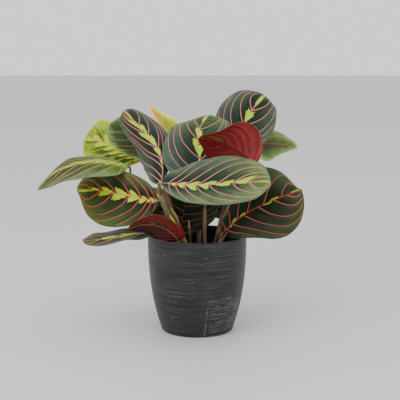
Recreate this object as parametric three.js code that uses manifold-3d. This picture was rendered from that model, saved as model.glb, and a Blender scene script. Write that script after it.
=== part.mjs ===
// Potted prayer plant, a maranta with red veins, in a dark tapered pot.
// Millimetres, +Z up. The pot stands on z = 0 around the Z axis and -Y is its front.
import * as THREE from "three";
import Module from "manifold-3d";
import { mergeVertices } from "three/addons/utils/BufferGeometryUtils.js";

const wasm = await Module();
wasm.setup();

// Pot
const potHeight = 118;
const rimRadius = 60;
const taper = 17; // how much narrower the foot is than the rim
const taperPower = 2.5;
const wallThickness = 3;
const floorThickness = 4;
const footRounding = 4;
const lipRounding = 1.2;
const potSides = 36;

// Soil
const soilLevel = 96;
const soilGap = 0.3; // air between soil and pot, and around each stem
const soilBumps = 1.6;
const rootDepth = 20; // how far the stems reach down into the soil

// Leaves
const bladeThickness = 0.7;
const ribThickness = 1.5;
const baseWidth = 2.6;
const tipWidth = 1.4;
const bladeRows = 11;
const bladeColumns = 8;
const jointGap = 0.35; // between the end of a leaf stalk and its blade

const colours = {
  pot: 0x2b2b2e,
  soil: 0x2a1c14,
  stem: 0x7a6a3a,
  leafDark: 0x24392b,
  leafYoung: 0x8f9f45,
};

function material(colour, roughness) {
  return new THREE.MeshStandardMaterial({ color: colour, roughness, metalness: 0 });
}

const potMaterial = material(colours.pot, 0.45);
const soilMaterial = material(colours.soil, 0.95);
const stemMaterial = material(colours.stem, 0.55);
const leafDarkMaterial = material(colours.leafDark, 0.5);
const leafYoungMaterial = material(colours.leafYoung, 0.5);

function vector([x, y, z]) {
  return new THREE.Vector3(x, y, z);
}

// One half of a blade: widths from the midrib to the margin at seven places from base to tip,
// closer together near both ends. Fold and curl are the degrees it leans toward the upper face.
function half(widths, fold = 8, curl = -10) {
  return { widths, fold, curl };
}

// A half with the usual oval outline.
function ovalHalf(reach) {
  return half([0.33, 0.63, 0.88, 1, 0.89, 0.6, 0.15].map((share) => share * reach), 6, -12);
}

// rib holds four points on the midrib from base to tip, and face is the way the upper side looks
// along it. Left and right are as seen from above with the tip pointing away.
const leaves = {
  // broad leaf across the middle, pointing right
  leaf_01: {
    rib: [[-40, -62, 190], [1, -70, 189], [40, -75, 192], [84, -72, 192]],
    face: [[0, -0.77, 0.64], [0.1, -0.77, 0.64]],
    left: half([14, 21, 32, 35, 34, 30, 20], 14, -12),
    right: half([10, 19, 26, 30, 28, 24, 11], 16, -12),
  },
  // broad leaf at the left, seen face on
  leaf_02: {
    rib: [[-46, -42, 166], [-76, -34, 169], [-111, -18, 173], [-145, 0, 172]],
    face: [[-0.3, -0.93, 0.2], [-0.5, -0.82, 0.2]],
    left: half([12, 25, 34, 40, 39, 29, 8], 10, -10),
    right: half([8, 18, 25, 28, 26, 20, 10], 4, -10),
  },
  // light leaf arching out to the far left
  leaf_03: {
    rib: [[-83, -12, 202], [-118, -26, 210], [-155, -38, 204], [-186, -44, 179]],
    face: [[0, -0.4, 0.92], [-0.45, -0.3, 0.84]],
    left: half([10, 21, 30, 28, 26, 21, 8], -9, -4),
    right: half([6, 10, 20, 25, 14, 8, 3], -2, -4), young: true,
  },
  // yellow-green leaf at the upper left
  leaf_04: {
    rib: [[-69, 32, 204], [-95, 52, 213], [-117, 69, 221], [-143, 89, 226]],
    face: [[-0.3, -0.8, 0.5], [-0.3, -0.75, 0.6]],
    left: half([7, 18, 29, 35, 35, 28, 14], 6, -10),
    right: half([6, 14, 22, 28, 32, 31, 28], 6, -10), young: true,
  },
  // grey-green leaf behind the tall narrow one
  leaf_05: {
    rib: [[-68, 18, 205], [-77, 30, 222], [-86, 36, 239], [-94, 44, 257]],
    face: [[-0.3, -0.9, 0.2], [-0.3, -0.85, 0.3]],
    left: half([3, 8, 16, 23, 27, 24, 16]),
    right: half([6, 14, 21, 24, 21, 13, 2]),
  },
  // tall narrow leaf left of the middle
  leaf_06: {
    rib: [[-42, -50, 186], [-42, -25, 214], [-57, -5, 237], [-88, 5, 267]],
    face: [[0.1, -0.95, 0.2], [-0.2, -0.8, 0.5]],
    left: half([13, 20, 27, 29, 25, 22, 15], -14, -20),
    right: half([3, 8, 15, 25, 33, 29, 18], -32, -16),
  },
  // broad upright leaf in the middle, its tip curling back
  leaf_07: {
    rib: [[7, -31, 180], [3, -15, 210], [1, 7, 236], [14, 36, 259]],
    face: [[0.36, -0.75, 0.6], [0.28, -0.75, 0.6], [-0.48, -0.44, 0.91]],
    left: half([22, 38, 45, 42, 35, 32, 16], 12, -14),
    right: half([9, 22, 35, 42, 41, 38, 30], 6, -18),
  },
  // round leaf at the upper right
  leaf_08: {
    rib: [[39, 44, 213], [52, 52, 235], [66, 64, 259], [85, 82, 280]],
    face: [[0.1, -0.85, 0.5], [0.1, -0.85, 0.5]],
    left: half([14, 25, 33, 37, 35, 28, 12]),
    right: half([7, 20, 31, 36, 35, 29, 21]),
  },
  // leaf turned over, showing its burgundy underside
  leaf_09: {
    rib: [[67, -40, 206], [47, -29, 224], [23, -28, 234], [1, -38, 238]],
    face: [[0, 0.9, 0.43], [0, 0.9, 0.43]],
    left: half([15, 33, 39, 32, 15, 7, 4]),
    right: half([11, 21, 30, 32, 26, 12, 4]),
  },
  // small light leaf at the right
  leaf_10: {
    rib: [[63, 58, 222], [84, 70, 220], [106, 82, 218], [128, 94, 213]],
    face: [[0.1, -0.7, 0.7], [0.1, -0.7, 0.7]],
    left: half([8, 15, 23, 28, 21, 14, 9]),
    right: half([16, 25, 26, 20, 13, 7, 4]), young: true,
  },
  // broad leaf at the lower right, over the rim
  leaf_11: {
    rib: [[30, -26, 123], [57, -32, 148], [88, -38, 165], [122, -42, 179]],
    face: [[0, -0.857, 0.515], [0.1, -0.857, 0.515]],
    left: half([8, 21, 36, 44, 45, 31, 5], 4, -10),
    right: half([13, 22, 32, 42, 44, 37, 20], 6, -22),
  },
  // low leaf behind the stems
  leaf_12: {
    rib: [[-20, 12, 114], [-17, 19, 139], [-13, 26, 160], [-10, 34, 182]],
    face: [[0, -0.95, 0.3], [0, -0.95, 0.3]],
    left: half([10, 18, 24, 26, 22, 14, 2]),
    right: half([15, 28, 38, 41, 35, 22, 3]),
  },
  // small leaf deep inside the plant
  leaf_13: {
    rib: [[10, 40, 140], [27, 44, 148], [43, 46, 152], [58, 47, 151]],
    face: [[0, -0.9, 0.4], [0, -0.9, 0.4]],
    left: half([9, 17, 23, 25, 21, 13, 2]),
    right: half([9, 17, 23, 25, 21, 13, 2]),
  },
  // low leaf turned over at the front left rim
  leaf_14: {
    rib: [[-22, -47, 119], [-35, -55, 134], [-56, -60, 141], [-81, -64, 135]],
    face: [[0, 0.8, 0.6], [0, 0.8, 0.6]],
    left: half([9, 13, 16, 18, 14, 10, 3]),
    right: half([10, 14, 19, 20, 14, 10, 4]),
  },
  // lowest leaf, lying out over the rim to the left
  leaf_15: {
    rib: [[-50, -12, 121], [-79, -24, 122], [-107, -38, 120], [-134, -50, 120]],
    face: [[0, -0.18, 0.98], [0, -0.18, 0.98]],
    left: half([4, 8, 11, 11, 10, 12, 9], -8, -10),
    right: half([6, 15, 23, 28, 24, 16, 7], -4, 0),
  },
  // young leaf still half folded, at the top
  leaf_16: {
    rib: [[-9, 34, 214], [-31, 42, 233], [-45, 48, 251], [-60, 54, 268]],
    face: [[0, -0.9, 0.4], [0, -0.9, 0.4]],
    left: half([3, 4, 4, 5, 6, 5, 2], 20, 0),
    right: half([6, 10, 13, 16, 10, 6, 2]), young: true,
  },
  // back right, low
  leaf_17: {
    rib: [[40, 40, 121], [64, 58, 134], [88, 74, 136], [112, 86, 126]],
    face: [[-0.3, -0.2, 0.9], [0.3, 0.3, 0.9]],
    left: ovalHalf(34),
    right: ovalHalf(34),
  },
  // back left, low
  leaf_18: {
    rib: [[-34, 38, 126], [-56, 52, 143], [-80, 62, 148], [-104, 68, 142]],
    face: [[0.3, -0.2, 0.9], [-0.3, 0.3, 0.9]],
    left: ovalHalf(34),
    right: ovalHalf(34),
  },
  // back middle, arching down
  leaf_19: {
    rib: [[-8, 54, 150], [-4, 76, 167], [0, 100, 165], [4, 124, 150]],
    face: [[0, -0.5, 0.86], [0, 0.6, 0.8]],
    left: ovalHalf(36),
    right: ovalHalf(36),
  },
  // back left
  leaf_20: {
    rib: [[-37, 45, 148], [-59, 62, 160], [-79, 81, 162], [-97, 97, 152]],
    face: [[0.3, -0.4, 0.86], [-0.3, 0.5, 0.8]],
    left: ovalHalf(35),
    right: ovalHalf(35),
  },
  // back right
  leaf_21: {
    rib: [[44, 62, 162], [62, 78, 178], [80, 92, 180], [98, 106, 172]],
    face: [[-0.3, -0.4, 0.86], [0.3, 0.5, 0.8]],
    left: ovalHalf(35),
    right: ovalHalf(35),
  },
  // back middle, high
  leaf_22: {
    rib: [[6, 44, 200], [8, 64, 224], [6, 86, 234], [2, 110, 232]],
    face: [[0, -0.7, 0.7], [0, 0.3, 0.9]],
    left: ovalHalf(36),
    right: ovalHalf(36),
  },
  // back middle, lying out over the rim
  leaf_23: {
    rib: [[-10, 48, 122], [-16, 72, 132], [-24, 96, 129], [-34, 118, 116]],
    face: [[0, -0.4, 0.9], [-0.2, 0.6, 0.8]],
    left: ovalHalf(30),
    right: ovalHalf(30),
  },
};

// A shoot rises from root in the soil along path. Each stalk leaves it at from, bends through via
// and ends at the base of its leaf.
const shoots = {
  shoot_1: {
    root: [-12, -20], radius: 4.2, topRadius: 3.3,
    path: [[-20, -25, 122], [-29, -30, 141], [-38, -37, 159], [-43, -43, 175]],
    stalks: [
      { leaf: "leaf_01", from: [-42, -42, 171], via: [[-44, -51, 180]] },
      { leaf: "leaf_02", from: [-37, -36, 156], via: [[-41, -39, 162]] },
      { leaf: "leaf_06", from: [-42, -42, 172], via: [[-43, -47, 180]] },
    ],
  },
  shoot_2: {
    root: [-26, 4], radius: 3.8, topRadius: 2.6,
    path: [[-30, 6, 124], [-37, 8, 142], [-41, 8, 158], [-45, 8, 172]],
    stalks: [
      { leaf: "leaf_03", from: [-29, 6, 121], via: [[-52, 6, 136], [-68, 6, 156], [-80, 5, 180]] },
      { leaf: "leaf_04", from: [-44, 8, 168], via: [[-51, 14, 188], [-60, 24, 199]] },
      { leaf: "leaf_05", from: [-44, 8, 168], via: [[-51, 12, 188]] },
      { leaf: "leaf_12", from: [-26, 4, 99], via: [[-23, 8, 106]] },
    ],
  },
  shoot_3: {
    root: [10, -6], radius: 2.6, topRadius: 2.1,
    path: [[9, -11, 125], [9, -18, 152]],
    stalks: [{ leaf: "leaf_07", from: [9, -17, 149], via: [[9, -25, 168]] }],
  },
  shoot_4: {
    root: [22, -8], radius: 3.5, topRadius: 2.8,
    path: [[26, -8, 122], [30, -8, 140], [36, -6, 154]],
    stalks: [
      { leaf: "leaf_08", from: [31, -7, 143], via: [[35, 10, 172], [38, 34, 200]] },
      { leaf: "leaf_09", from: [35, -6, 151], via: [[54, -1, 180], [64, -2, 194], [70, -15, 205], [72, -33, 205]] },
      { leaf: "leaf_10", from: [35, -6, 152], via: [[47, 16, 180], [56, 42, 206]] },
    ],
  },
  shoot_5: {
    root: [26, -23], radius: 2.7, topRadius: 2.2,
    path: [[26, -23, 106], [27, -24, 113]],
    stalks: [{ leaf: "leaf_11", from: [26, -23, 109], via: [[28, -25, 118]] }],
  },
  shoot_6: {
    root: [-28, -30], radius: 3.2, topRadius: 2.4,
    path: [[-28, -31, 104], [-28, -32, 109]],
    stalks: [
      { leaf: "leaf_14", from: [-28, -31, 106], via: [[-22, -40, 113]] },
      { leaf: "leaf_15", from: [-28, -31, 106], via: [[-38, -20, 117]] },
    ],
  },
  shoot_7: {
    root: [2, 32], radius: 3.4, topRadius: 2.4,
    path: [[2, 36, 122], [1, 41, 145]],
    stalks: [
      { leaf: "leaf_13", from: [2, 36, 124], via: [[6, 39, 134]] },
      { leaf: "leaf_16", from: [1, 40, 142], via: [[-1, 43, 172], [-5, 40, 200]] },
      { leaf: "leaf_19", from: [1, 39, 136], via: [[-6, 48, 145]] },
      { leaf: "leaf_22", from: [1, 40, 142], via: [[5, 42, 172]] },
    ],
  },
  shoot_8: {
    root: [28, 31], radius: 3.2, topRadius: 2.3,
    path: [[29, 34, 109], [33, 45, 121]],
    stalks: [
      { leaf: "leaf_17", from: [29, 33, 106], via: [[34, 36, 115]] },
      { leaf: "leaf_21", from: [32, 44, 120], via: [[37, 54, 135]] },
    ],
  },
  shoot_9: {
    root: [-20, 30], radius: 3.4, topRadius: 2.4,
    path: [[-22, 34, 116], [-25, 39, 132]],
    stalks: [
      { leaf: "leaf_18", from: [-21, 32, 110], via: [[-28, 36, 121]] },
      { leaf: "leaf_20", from: [-24, 38, 130], via: [[-28, 43, 142]] },
      { leaf: "leaf_23", from: [-21, 32, 106], via: [[-14, 42, 116]] },
    ],
  },
};

// A leaf not yet unrolled stands among the stems as a pointed spear.
const spear = {
  root: [-8, -9],
  path: [[-8, -9, 104], [-9, -10, 118], [-10, -12, 137]],
  radii: [1.7, 1.9, 2.3, 0.5],
};

// The cubic that passes through the four points of a midrib.
function ribCurve(points) {
  const [a, b, c, d] = points.map(vector);
  const near = a.clone().multiplyScalar(-5).addScaledVector(b, 18);
  near.addScaledVector(c, -9).addScaledVector(d, 2).divideScalar(6);
  const far = a.clone().multiplyScalar(2).addScaledVector(b, -9);
  far.addScaledVector(c, 18).addScaledVector(d, -5).divideScalar(6);
  return new THREE.CubicBezierCurve3(a, near, far, d);
}

// Width of a half at s along the midrib, a smooth line through its widths and its two ends.
function widthAt(s, side) {
  const all = [baseWidth / 2, ...side.widths, tipWidth / 2];
  const last = all.length - 1;
  const place = Math.acos(1 - 2 * s) / Math.PI * last;
  const i = Math.min(Math.floor(place), last - 1);
  const t = place - i;
  const [a, b] = [all[i], all[i + 1]];
  const startSlope = (b - all[Math.max(i - 1, 0)]) / 2;
  const endSlope = (all[Math.min(i + 2, last)] - a) / 2;
  const cubic = 2 * a - 2 * b + startSlope + endSlope;
  const square = -3 * a + 3 * b - 2 * startSlope - endSlope;
  return Math.max(a + t * (startSlope + t * (square + t * cubic)), tipWidth / 2);
}

// A point of the blade: s runs from base to tip and r from 1 at the left margin to -1.
function bladePoint(leaf, curve, s, r, phase) {
  const tangent = curve.getTangent(s);
  const face = new THREE.CatmullRomCurve3(leaf.face.map(vector)).getPoint(s);
  const across = face.clone().cross(tangent).normalize();
  const normal = tangent.clone().cross(across);
  const side = r >= 0 ? leaf.left : leaf.right;
  const out = Math.abs(r);
  const reach = out * widthAt(s, side);
  const lean = THREE.MathUtils.degToRad(side.fold + side.curl * out);
  const turns = 2 * s + phase + (r > 0 ? 0 : 0.37);
  const wave = 1.5 * out * out * Math.sin(2 * Math.PI * turns) * Math.min(1, 6 * s * (1 - s));
  return curve.getPoint(s)
    .addScaledVector(across, Math.sign(r) * reach * Math.cos(lean))
    .addScaledVector(normal, reach * Math.sin(lean) + wave);
}

function bladeMesh(name, leaf, phase) {
  const curve = ribCurve(leaf.rib);
  const rows = Array.from({ length: bladeRows }, (_, i) => {
    const s = 0.5 - 0.5 * Math.cos(Math.PI * i / (bladeRows - 1));
    const row = [];
    for (let j = 0; j <= bladeColumns; j++) {
      row.push(bladePoint(leaf, curve, s, 1 - 2 * j / bladeColumns, phase));
    }
    return row;
  });
  const last = rows.length - 1;
  const wide = bladeColumns + 1;
  const top = [];
  const under = [];
  rows.forEach((row, i) => row.forEach((point, j) => {
    const along = rows[Math.min(i + 1, last)][j].clone().sub(rows[Math.max(i - 1, 0)][j]);
    const across = row[Math.min(j + 1, bladeColumns)].clone().sub(row[Math.max(j - 1, 0)]);
    const normal = across.cross(along).normalize();
    const fromRib = Math.abs(1 - 2 * j / bladeColumns);
    const keel = (ribThickness - bladeThickness) * Math.max(0, 1 - 4 * fromRib);
    top.push(point.clone().addScaledVector(normal, bladeThickness / 2));
    under.push(point.clone().addScaledVector(normal, -bladeThickness / 2 - keel));
  }));
  const index = [];
  const lower = top.length;
  const at = (i, j) => i * wide + j;
  for (let i = 0; i < last; i++) {
    for (let j = 0; j < bladeColumns; j++) {
      const a = at(i, j);
      const b = at(i, j + 1);
      const c = at(i + 1, j + 1);
      const d = at(i + 1, j);
      index.push(a, b, c, a, c, d);
      index.push(lower + a, lower + c, lower + b, lower + a, lower + d, lower + c);
    }
  }
  const margin = [];
  for (let j = 0; j < bladeColumns; j++) margin.push(at(0, j));
  for (let i = 0; i < last; i++) margin.push(at(i, bladeColumns));
  for (let j = bladeColumns; j > 0; j--) margin.push(at(last, j));
  for (let i = last; i > 0; i--) margin.push(at(i, 0));
  margin.forEach((a, k) => {
    const b = margin[(k + 1) % margin.length];
    index.push(a, lower + a, lower + b, a, lower + b, b);
  });
  const geometry = new THREE.BufferGeometry();
  const positions = [...top, ...under].flatMap((p) => p.toArray());
  geometry.setAttribute("position", new THREE.Float32BufferAttribute(positions, 3));
  geometry.setIndex(index);
  geometry.computeVertexNormals();
  const mesh = new THREE.Mesh(geometry, leaf.young ? leafYoungMaterial : leafDarkMaterial);
  mesh.name = name;
  return mesh;
}

function toSolid(geometry) {
  const bare = new THREE.BufferGeometry();
  bare.setAttribute("position", geometry.getAttribute("position"));
  bare.setIndex(geometry.getIndex());
  const merged = mergeVertices(bare, 1e-3);
  return new wasm.Manifold(new wasm.Mesh({
    numProp: 3,
    vertProperties: merged.getAttribute("position").array,
    triVerts: new Uint32Array(merged.getIndex().array),
  }));
}

function toGeometry(solid) {
  const mesh = solid.getMesh();
  const geometry = new THREE.BufferGeometry();
  geometry.setAttribute("position", new THREE.Float32BufferAttribute(mesh.vertProperties, 3));
  geometry.setIndex(Array.from(mesh.triVerts));
  geometry.computeVertexNormals();
  return geometry;
}

// A round stem along points, its radius changing evenly through the given radii.
function tube(points, radii, rows, sides = 7, extra = 0) {
  const curve = new THREE.CatmullRomCurve3(points.map(vector), false, "centripetal");
  const frames = curve.computeFrenetFrames(rows, false);
  const positions = [];
  const index = [];
  for (let i = 0; i <= rows; i++) {
    const place = i / rows * (radii.length - 1);
    const low = Math.min(Math.floor(place), radii.length - 2);
    const radius = THREE.MathUtils.lerp(radii[low], radii[low + 1], place - low) + extra;
    const centre = curve.getPointAt(i / rows);
    for (let k = 0; k < sides; k++) {
      const turn = 2 * Math.PI * k / sides;
      const point = centre.clone()
        .addScaledVector(frames.normals[i], radius * Math.cos(turn))
        .addScaledVector(frames.binormals[i], radius * Math.sin(turn));
      positions.push(...point.toArray());
    }
  }
  for (let i = 0; i < rows; i++) {
    for (let k = 0; k < sides; k++) {
      const a = i * sides + k;
      const b = i * sides + (k + 1) % sides;
      index.push(a, b, b + sides, a, b + sides, a + sides);
    }
  }
  for (let k = 1; k < sides - 1; k++) {
    index.push(0, k + 1, k);
    index.push(rows * sides, rows * sides + k, rows * sides + k + 1);
  }
  const geometry = new THREE.BufferGeometry();
  geometry.setAttribute("position", new THREE.Float32BufferAttribute(positions, 3));
  geometry.setIndex(index);
  return toSolid(geometry);
}

function foot([x, y]) {
  return [[x, y, soilLevel - rootDepth], [x, y, soilLevel - 8], [x, y, soilLevel + 4]];
}

function stemMesh(name, solid) {
  const mesh = new THREE.Mesh(toGeometry(solid), stemMaterial);
  mesh.name = name;
  return mesh;
}

function shootMesh(name, shoot) {
  const path = [...foot(shoot.root), ...shoot.path];
  const middle = (shoot.radius + shoot.topRadius) / 2;
  const parts = [tube(path, [shoot.radius, shoot.radius, middle, shoot.topRadius], 9, 8)];
  for (const stalk of shoot.stalks) {
    const curve = ribCurve(leaves[stalk.leaf].rib);
    const base = curve.getPoint(0);
    const tangent = curve.getTangent(0);
    const near = base.clone().addScaledVector(tangent, -3).toArray();
    const end = base.addScaledVector(tangent, -jointGap).toArray();
    const points = [stalk.from, ...stalk.via, near, end];
    parts.push(tube(points, [1.9, 1.6, 1.4, 1.5], points.length * 2 + 1, 6));
  }
  return stemMesh(name, wasm.Manifold.union(parts).simplify(0.05));
}

function ring(points) {
  return points.map(([r, z]) => new THREE.Vector2(r, z));
}

function potRadius(z) {
  return rimRadius - taper * Math.pow(Math.max(1 - z / potHeight, 0), taperPower);
}

function roundedCorner(radius, z, size, from, to, steps) {
  const points = [];
  for (let i = 0; i <= steps; i++) {
    const turn = THREE.MathUtils.degToRad(from + (to - from) * i / steps);
    points.push([radius + size * Math.cos(turn), z + size * Math.sin(turn)]);
  }
  return points;
}

function potMesh() {
  const profile = [[0, 0]];
  const footRadius = potRadius(footRounding);
  profile.push(...roundedCorner(footRadius - footRounding, footRounding, footRounding, -90, 0, 4));
  const shoulder = potHeight - lipRounding;
  for (let z = 14; z < shoulder; z += 14) profile.push([potRadius(z), z]);
  const lip = rimRadius - lipRounding;
  profile.push(...roundedCorner(lip, shoulder, lipRounding, 0, 90, 3));
  const innerLip = rimRadius - wallThickness + lipRounding;
  profile.push(...roundedCorner(innerLip, shoulder, lipRounding, 90, 180, 3));
  for (let z = 98; z > floorThickness + 6; z -= 14) profile.push([potRadius(z) - wallThickness, z]);
  profile.push([potRadius(floorThickness) - wallThickness - 2, floorThickness]);
  profile.push([0, floorThickness]);
  const mesh = new THREE.Mesh(new THREE.LatheGeometry(ring(profile), potSides), potMaterial);
  mesh.name = "pot";
  mesh.geometry.rotateX(Math.PI / 2);
  return mesh;
}

function soilMesh() {
  const bottom = floorThickness + soilGap;
  const profile = [[0, bottom]];
  profile.push([potRadius(floorThickness) - wallThickness - 2 - soilGap, bottom]);
  const side = [];
  for (let z = 86; z > floorThickness + 6; z -= 24) side.push(z);
  for (const z of side.reverse()) {
    profile.push([potRadius(z) - wallThickness - soilGap * 1.3, z]);
  }
  const edge = potRadius(soilLevel) - wallThickness - soilGap * 1.3;
  profile.push([edge, soilLevel - 3], [edge - 3, soilLevel - 1]);
  for (const share of [0.8, 0.6, 0.4, 0.2]) profile.push([edge * share, soilLevel]);
  profile.push([0, soilLevel]);
  const geometry = new THREE.LatheGeometry(ring(profile), potSides).rotateX(Math.PI / 2);
  const position = geometry.getAttribute("position");
  for (let i = 0; i < position.count; i++) {
    const x = position.getX(i);
    const y = position.getY(i);
    if (position.getZ(i) < soilLevel - 2 || Math.hypot(x, y) > edge - 4) continue;
    const bump = Math.sin(x / 7 + 1) * Math.cos(y / 8) + 0.5 * Math.sin(x / 4 - y / 5);
    position.setZ(i, soilLevel + soilBumps * 0.6 * bump);
  }
  let soil = toSolid(geometry);
  for (const shoot of Object.values(shoots)) {
    const hole = tube(foot(shoot.root), [shoot.radius, shoot.radius], 4, 8, soilGap * 1.5);
    soil = soil.subtract(hole.translate([0, 0, -soilGap]));
  }
  const spearHole = tube(foot(spear.root), [spear.radii[0], spear.radii[0]], 4, 8, soilGap * 2);
  soil = soil.subtract(spearHole.translate([0, 0, -soilGap]));
  const mesh = new THREE.Mesh(toGeometry(soil), soilMaterial);
  mesh.name = "soil";
  return mesh;
}

const plant = new THREE.Group();
plant.name = "potted_prayer_plant";
plant.add(potMesh(), soilMesh());
for (const [name, shoot] of Object.entries(shoots)) plant.add(shootMesh(name, shoot));
plant.add(stemMesh("new_leaf", tube([...foot(spear.root), ...spear.path], spear.radii, 9)));
Object.entries(leaves).forEach(([name, leaf], i) => plant.add(bladeMesh(name, leaf, 0.31 * i)));

export default plant;
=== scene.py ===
import math

import bpy
import numpy as np
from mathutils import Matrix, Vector


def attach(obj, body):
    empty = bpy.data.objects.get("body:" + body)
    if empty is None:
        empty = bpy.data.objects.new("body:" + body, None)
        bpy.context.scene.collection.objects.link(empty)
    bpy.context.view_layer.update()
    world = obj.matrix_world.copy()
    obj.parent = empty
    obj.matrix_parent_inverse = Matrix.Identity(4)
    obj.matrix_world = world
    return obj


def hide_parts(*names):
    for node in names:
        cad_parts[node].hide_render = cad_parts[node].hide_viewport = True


# Potted prayer plant: pot, soil, stems, leaf blades, new leaf. Lengths in the pieces' tables are millimetres.
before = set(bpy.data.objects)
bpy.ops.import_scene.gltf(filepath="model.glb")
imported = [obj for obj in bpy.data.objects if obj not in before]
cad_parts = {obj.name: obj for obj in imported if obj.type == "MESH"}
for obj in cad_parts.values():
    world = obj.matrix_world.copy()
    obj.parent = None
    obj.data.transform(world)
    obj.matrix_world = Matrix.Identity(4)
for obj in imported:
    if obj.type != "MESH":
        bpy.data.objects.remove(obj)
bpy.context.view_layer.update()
print("frame loaded:", len(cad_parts), "nodes")

mm = 0.001


# object helpers

def newObject(name, data, materials=()):
    item = bpy.data.objects.new(name, data)
    bpy.context.collection.objects.link(item)
    for material in materials:
        data.materials.append(material)
    return item


def finishPiece(piece, node):
    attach(piece, "root")
    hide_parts(node)


def bakeNodes(name, data, tree, inputs):
    # runs a geometry tree on a mesh or curve and keeps the result as a plain mesh object
    source = newObject(name, data)
    modifier = source.modifiers.new("build", "NODES")
    modifier.node_group = tree
    sockets = {s.name: s.identifier for s in tree.interface.items_tree if s.in_out == "INPUT"}
    for key, value in inputs.items():
        modifier[sockets[key]] = value
    mesh = bpy.data.meshes.new_from_object(source.evaluated_get(bpy.context.evaluated_depsgraph_get()))
    source.modifiers.remove(modifier)
    bpy.data.objects.remove(source)
    mesh.name = name
    return newObject(name, mesh)


def throughPoints(points, shares):
    # centripetal Catmull-Rom curve through points, at shares from 0 to 1 of the way
    points = [np.array(p, float) for p in points]
    spans = len(points) - 1
    result = []
    for share in shares:
        place = min(share * spans, spans - 1e-9)
        i = int(place)
        w = place - i
        p1, p2 = points[i], points[i + 1]
        p0 = points[i - 1] if i > 0 else 2 * p1 - p2
        p3 = points[i + 2] if i + 2 <= spans else 2 * p2 - p1
        d0, d1, d2 = [max(np.sum((b - a) ** 2) ** 0.25, 1e-4) for a, b in ((p0, p1), (p1, p2), (p2, p3))]
        m1 = ((p1 - p0) / d0 - (p2 - p0) / (d0 + d1) + (p2 - p1) / d1) * d1
        m2 = ((p2 - p1) / d1 - (p3 - p1) / (d1 + d2) + (p3 - p2) / d2) * d1
        result.append(p1 + m1 * w + (-3 * p1 + 3 * p2 - 2 * m1 - m2) * w ** 2
                      + (2 * p1 - 2 * p2 + m1 + m2) * w ** 3)
    return np.array(result)


def unit(vectors):
    return vectors / np.maximum(np.linalg.norm(vectors, axis=-1, keepdims=True), 1e-6)


# node helpers

def addNode(tree, kind, inputs=None, **settings):
    # an input takes a link or a value, and a colour comes without its alpha
    item = tree.nodes.new(kind)
    for key, value in settings.items():
        setattr(item, key, value)
    for key, value in (inputs or {}).items():
        socket = item.inputs[key]
        if isinstance(value, bpy.types.NodeSocket):
            tree.links.new(value, socket)
        else:
            socket.default_value = (*value, 1) if socket.type == "RGBA" else value
    return item


# each new node goes into the tree of a socket that it is given

def calc(operation, a, b=0.0, c=0.0):
    return addNode(a.id_data, "ShaderNodeMath", {0: a, 1: b, 2: c}, operation=operation).outputs[0]


def product(result, *others):
    for other in others:
        result = calc("MULTIPLY", result, other)
    return result


def ramp(value, low, high, start=0.0, end=1.0):
    return addNode(value.id_data, "ShaderNodeMapRange", {0: value, 1: low, 2: high, 3: start, 4: end},
                   interpolation_type="SMOOTHSTEP").outputs[0]


def stretched(place, side, rise):
    return addNode(place.id_data, "ShaderNodeVectorMath", {0: place, 1: (side, side, rise)},
                   operation="MULTIPLY").outputs[0]


def combine(x, y, z):
    return addNode(x.id_data, "ShaderNodeCombineXYZ", {0: x, 1: y, 2: z}).outputs[0]


def noise(vector, scale, detail=2.0, roughness=0.5):
    return addNode(vector.id_data, "ShaderNodeTexNoise", {
        "Vector": vector, "Scale": scale, "Detail": detail, "Roughness": roughness}).outputs["Fac"]


def coats(colour, *layers):
    # each layer is its mask and its colour, laid over what is there
    for mask, paint in layers:
        colour = addNode(mask.id_data, "ShaderNodeMix", {0: mask, 6: colour, 7: paint},
                         data_type="RGBA").outputs[2]
    return colour


def shaded(colour, *factors):
    return addNode(colour.id_data, "ShaderNodeMix", {0: 1.0, 6: colour, 7: product(*factors)},
                   data_type="RGBA", blend_type="MULTIPLY").outputs[2]


def scaled(colour, factor):
    return [min(factor * c, 1) for c in colour]


def readAttributes(tree, *names):
    return [addNode(tree, "ShaderNodeAttribute", attribute_name=name).outputs["Fac"] for name in names]


def objectPlace(tree):
    return addNode(tree, "ShaderNodeTexCoord").outputs["Object"]


def newMaterial(name):
    material = bpy.data.materials.new(name)
    material.use_nodes = True
    return material, material.node_tree


def finishShader(tree, colour, roughness, height, strength, depth, specular=0.5):
    # strength and depth belong to the bump; what is even all over is set on the shader itself
    shader = tree.nodes["Principled BSDF"]
    bump = addNode(tree, "ShaderNodeBump", {"Strength": strength, "Distance": depth, "Height": height})
    for label, value in (("Base Color", colour), ("Roughness", roughness), ("Normal", bump.outputs[0])):
        tree.links.new(value, shader.inputs[label])
    shader.inputs["Specular IOR Level"].default_value = specular


def startGroup(name, kind, inputs):
    # each input is its type and, where it has one, its value
    tree = bpy.data.node_groups.new(name, kind)
    for label, (socketType, *value) in inputs.items():
        socket = tree.interface.new_socket(name=label, in_out="INPUT", socket_type="NodeSocket" + socketType)
        if value:
            socket.default_value = value[0]
    return tree, tree.nodes.new("NodeGroupInput").outputs


def endGroup(tree, socketType, results):
    for label in results:
        tree.interface.new_socket(name=label, in_out="OUTPUT", socket_type="NodeSocket" + socketType)
    end = tree.nodes.new("NodeGroupOutput")
    for label, value in results.items():
        tree.links.new(value, end.inputs[label])
    return tree


def endGeometry(tree, geometry, finish):
    real = addNode(tree, "GeometryNodeRealizeInstances", {"Geometry": geometry})
    coated = addNode(tree, "GeometryNodeSetMaterial", {"Geometry": real.outputs[0], "Material": finish})
    return endGroup(tree, "Geometry", {"Geometry": coated.outputs[0]})


# camera, floor and light, in metres and degrees

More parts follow.
